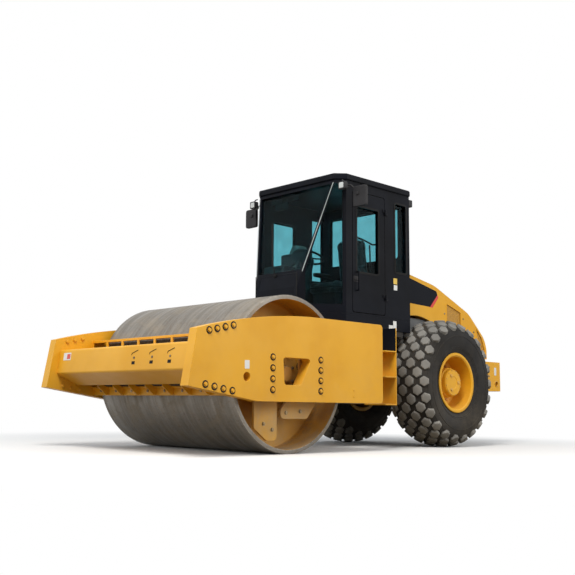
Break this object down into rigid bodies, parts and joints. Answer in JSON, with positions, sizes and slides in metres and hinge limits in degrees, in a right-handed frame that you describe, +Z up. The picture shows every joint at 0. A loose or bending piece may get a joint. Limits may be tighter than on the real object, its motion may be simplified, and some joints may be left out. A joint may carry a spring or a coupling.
{
  "type": "single drum soil roller",
  "caption": "Vibratory soil roller with a wide smooth drum in a yoke, articulated centre joint, glazed cab, sloping rear hood and lugged rear tyres.",
  "frame": {"origin": "on the ground, on the centre line, midway between the yoke's front and the bumper's back", "axes": "+X forward, towards the drum; +Y to the driver's left; +Z up"},
  "size_m": [6.085, 2.46, 3.105],
  "materials": {
    "drum_steel": "worn smooth steel",
    "yellow_paint": "gloss yellow paint",
    "black_paint": "satin black paint",
    "rod_chrome": "hard chrome",
    "tyre_rubber": "matt, dusty",
    "cab_glass": "tinted safety glass",
    "seat_vinyl": "black vinyl",
    "cab_plastic": "grained plastic",
    "lamp_housing": "black housing with a clear lens",
    "engine_iron": "painted iron"
  },
  "bodies": {
    "chassis": {"rear_frame": "black_paint", "rear_axle": "black_paint", "rear_bumper": "yellow_paint", "access_steps": "yellow_paint", "cab_base": "black_paint", "cab_frame": "black_paint", "cab_front_panel": "black_paint", "cab_roof": "black_paint", "cab_glass": "cab_glass", "seat_base": "black_paint", "seat_cushion": "seat_vinyl", "seat_back": "seat_vinyl", "steering_column": "cab_plastic", "steering_wheel": "cab_plastic", "dash_console": "cab_plastic", "side_console": "cab_plastic", "mirrors": "black_paint", "front_lamps": "lamp_housing", "rear_lamps": "lamp_housing", "engine_block": "engine_iron"},
    "cab_door": {"door_panel": "black_paint", "door_glass": "cab_glass", "door_handle": "black_paint"},
    "hood": {"hood_shell": "yellow_paint"},
    "centre_hitch": {"hitch": "black_paint"},
    "yoke": {"yoke_plate_left": "yellow_paint", "yoke_plate_right": "yellow_paint", "front_beam": "yellow_paint", "rear_beam": "yellow_paint", "scraper_front": "yellow_paint", "scraper_rear": "yellow_paint", "drum_mount_left": "yellow_paint", "drum_mount_right": "yellow_paint"},
    "drum": {"drum_shell": "drum_steel"},
    "wheel_left": {"rim_left": "yellow_paint", "tyre_left": "tyre_rubber"},
    "wheel_right": {"rim_right": "yellow_paint", "tyre_right": "tyre_rubber"},
    "cylinder_left": {"steering_barrel_left": "black_paint"},
    "piston_left": {"steering_rod_left": "rod_chrome"},
    "cylinder_right": {"steering_barrel_right": "black_paint"},
    "piston_right": {"steering_rod_right": "rod_chrome"}
  },
  "joints": [
    {"name": "articulation", "type": "hinge", "parent": "chassis", "child": "centre_hitch", "pos_m": [0.1475, 0, 0.78], "axis": [0, 0, 1], "range_deg": [-34, 34]},
    {"name": "oscillation", "type": "hinge", "parent": "centre_hitch", "child": "yoke", "pos_m": [0.4475, 0, 0.78], "axis": [1, 0, 0], "range_deg": [-15, 15]},
    {"name": "drum_roll", "type": "hinge", "parent": "yoke", "child": "drum", "pos_m": [1.6375, 0, 0.775], "axis": [0, 1, 0], "continuous": true},
    {"name": "wheel_left_roll", "type": "hinge", "parent": "chassis", "child": "wheel_left", "pos_m": [-1.3425, 0.74, 0.77], "axis": [0, 1, 0], "continuous": true},
    {"name": "wheel_right_roll", "type": "hinge", "parent": "chassis", "child": "wheel_right", "pos_m": [-1.3425, -0.74, 0.77], "axis": [0, 1, 0], "continuous": true},
    {"name": "hood_hinge", "type": "hinge", "parent": "chassis", "child": "hood", "pos_m": [-0.8345, 0, 2.223], "axis": [0, 1, 0], "range_deg": [0, 50]},
    {"name": "door_hinge", "type": "hinge", "parent": "chassis", "child": "cab_door", "pos_m": [-0.3335, 0.714, 2.2], "axis": [0, 0, 1], "range_deg": [0, 90]},
    {"name": "cylinder_left_swing", "type": "hinge", "parent": "chassis", "child": "cylinder_left", "pos_m": [-0.4525, 0.23, 0.78], "axis": [0, 0, 1], "range_deg": [-1, 1]},
    {"name": "cylinder_left_slide", "type": "slide", "parent": "cylinder_left", "child": "piston_left", "axis": [1, 0, 0], "range_m": [-0.13, 0.13]},
    {"name": "cylinder_right_swing", "type": "hinge", "parent": "chassis", "child": "cylinder_right", "pos_m": [-0.4525, -0.23, 0.78], "axis": [0, 0, 1], "range_deg": [-1, 1]},
    {"name": "cylinder_right_slide", "type": "slide", "parent": "cylinder_right", "child": "piston_right", "axis": [1, 0, 0], "range_m": [-0.13, 0.13]}
  ],
  "couplings": [
    {"joint": "cylinder_left_swing", "follows": "articulation", "ratio": -0.0247},
    {"joint": "cylinder_left_slide", "follows": "articulation", "m_per_rad": -0.2164},
    {"joint": "cylinder_right_swing", "follows": "articulation", "ratio": -0.0247},
    {"joint": "cylinder_right_slide", "follows": "articulation", "m_per_rad": 0.2164}
  ]
}
